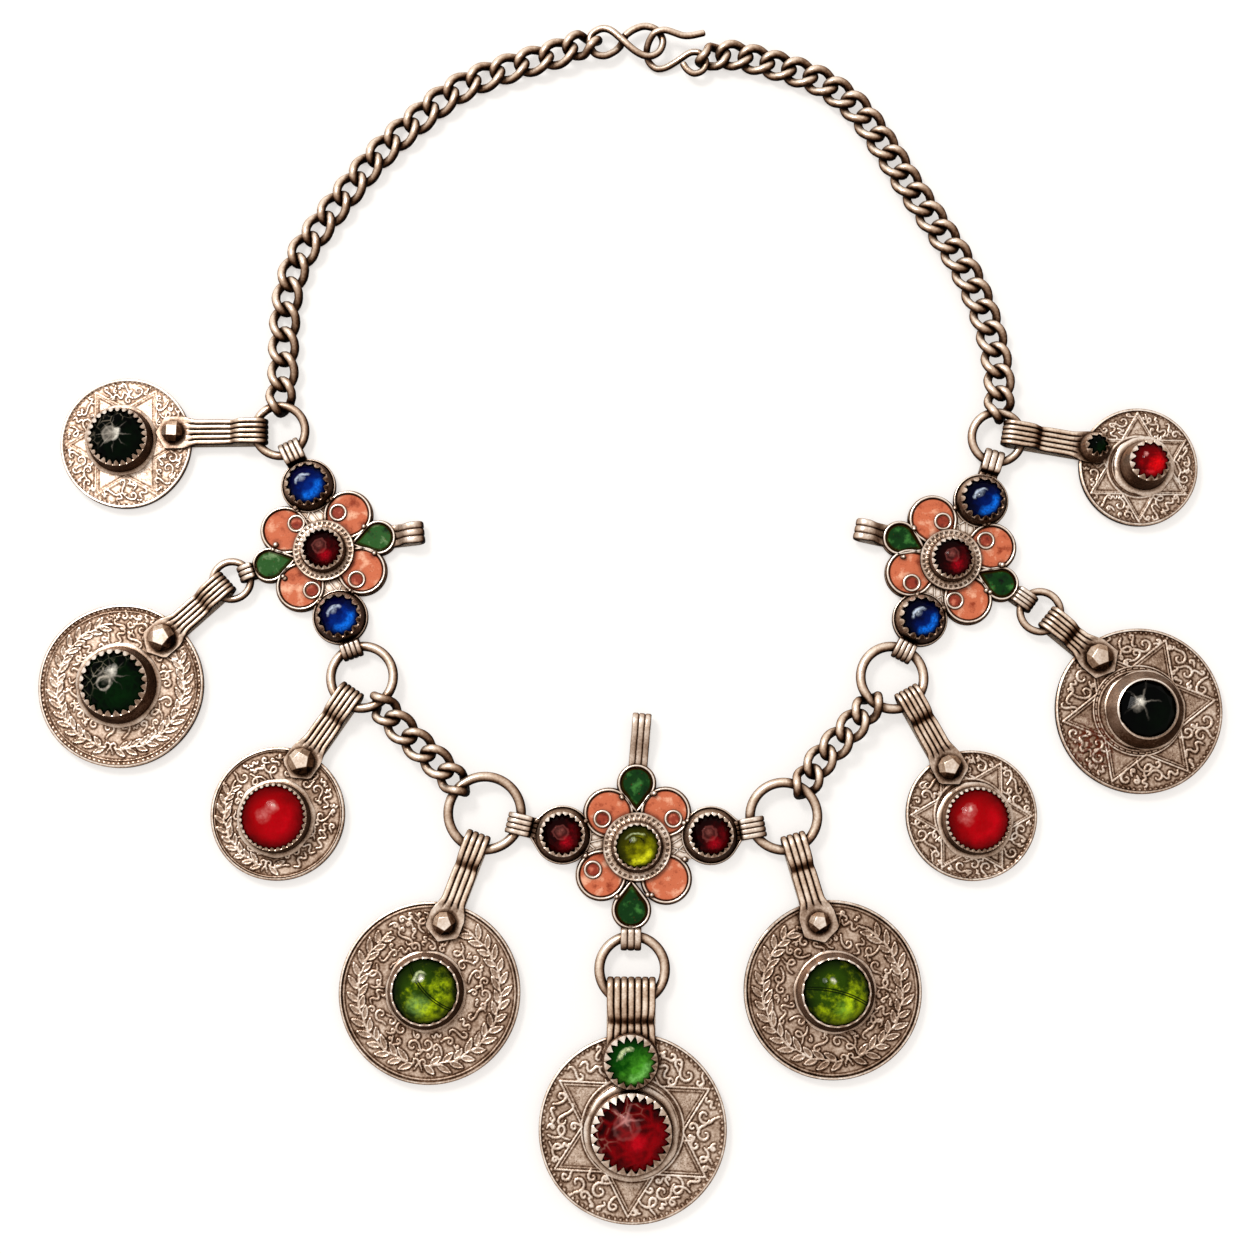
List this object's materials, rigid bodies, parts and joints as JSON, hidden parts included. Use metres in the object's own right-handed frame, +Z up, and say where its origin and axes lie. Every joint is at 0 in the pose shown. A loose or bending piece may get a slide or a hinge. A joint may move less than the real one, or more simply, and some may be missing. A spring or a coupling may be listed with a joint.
{
  "type": "coin necklace",
  "caption": "Necklace of curb chain and rings that join enamelled flower plates, with coin pendants on ribbed straps, bezel-set stones and a hook clasp.",
  "frame": {"origin": "on the surface the necklace lies on, under the middle of the whole laid-out loop with its pendants", "axes": "+Z up from the surface; +Y towards the clasp; +X towards the side that is at the right when the face is up and the clasp is at the top"},
  "size_m": [0.2269, 0.233, 0.0092],
  "materials": {
    "chain_silver": "aged silver, bright on the outside and brown in the hollows",
    "wire_silver": "aged silver wire, smooth and worn",
    "flower_silver": "aged silver with brown patina between the wires",
    "strap_silver": "aged silver strip with fine ribs",
    "coin_silver": "worn cast silver with dark patina in the relief",
    "coral_enamel": "mottled coral enamel with a dull gloss",
    "green_enamel": "mottled green enamel with pale flecks",
    "blue_glass": "polished deep blue glass",
    "garnet_glass": "polished dark red glass",
    "red_glass": "polished bright red glass",
    "yellow_glass": "polished olive yellow glass",
    "olive_glass": "polished olive green glass with inclusions",
    "leaf_green_glass": "polished leaf green glass",
    "dark_green_glass": "cut glass, green that is almost black"
  },
  "bodies": {
    "root": {"chain_left": "chain_silver", "chain_right": "chain_silver", "chain_lower_left": "chain_silver", "chain_lower_right": "chain_silver", "clasp_eye": "wire_silver", "clasp_hook": "wire_silver", "ring_upper_left": "wire_silver", "ring_upper_right": "wire_silver", "ring_side_left": "wire_silver", "ring_side_right": "wire_silver", "ring_lower_left": "wire_silver", "ring_lower_right": "wire_silver", "ring_front_left": "wire_silver", "ring_front_right": "wire_silver", "ring_center": "wire_silver", "flower_left": "flower_silver", "flower_right": "flower_silver", "flower_front": "flower_silver", "petal_enamel": "coral_enamel", "drop_enamel": "green_enamel", "stone_left_center": "garnet_glass", "stone_left_top": "blue_glass", "stone_left_bottom": "blue_glass", "stone_right_center": "garnet_glass", "stone_right_top": "blue_glass", "stone_right_bottom": "blue_glass", "stone_front_center": "yellow_glass", "stone_front_left": "garnet_glass", "stone_front_right": "garnet_glass", "coin_1": "coin_silver", "coin_2": "coin_silver", "coin_3": "coin_silver", "coin_4": "coin_silver", "coin_5": "coin_silver", "coin_6": "coin_silver", "coin_7": "coin_silver", "coin_8": "coin_silver", "coin_9": "coin_silver", "strap_1": "strap_silver", "strap_2": "strap_silver", "strap_3": "strap_silver", "strap_4": "strap_silver", "strap_5": "strap_silver", "strap_6": "strap_silver", "strap_7": "strap_silver", "strap_8": "strap_silver", "strap_9": "strap_silver", "coin_stone_1": "dark_green_glass", "coin_stone_2": "dark_green_glass", "coin_stone_3": "red_glass", "coin_stone_4": "olive_glass", "coin_stone_5": "garnet_glass", "coin_stone_6": "olive_glass", "coin_stone_7": "red_glass", "coin_stone_8": "dark_green_glass", "coin_stone_9": "red_glass", "strap_stone_5": "leaf_green_glass", "strap_stone_9": "dark_green_glass"}
  },
  "joints": []
}
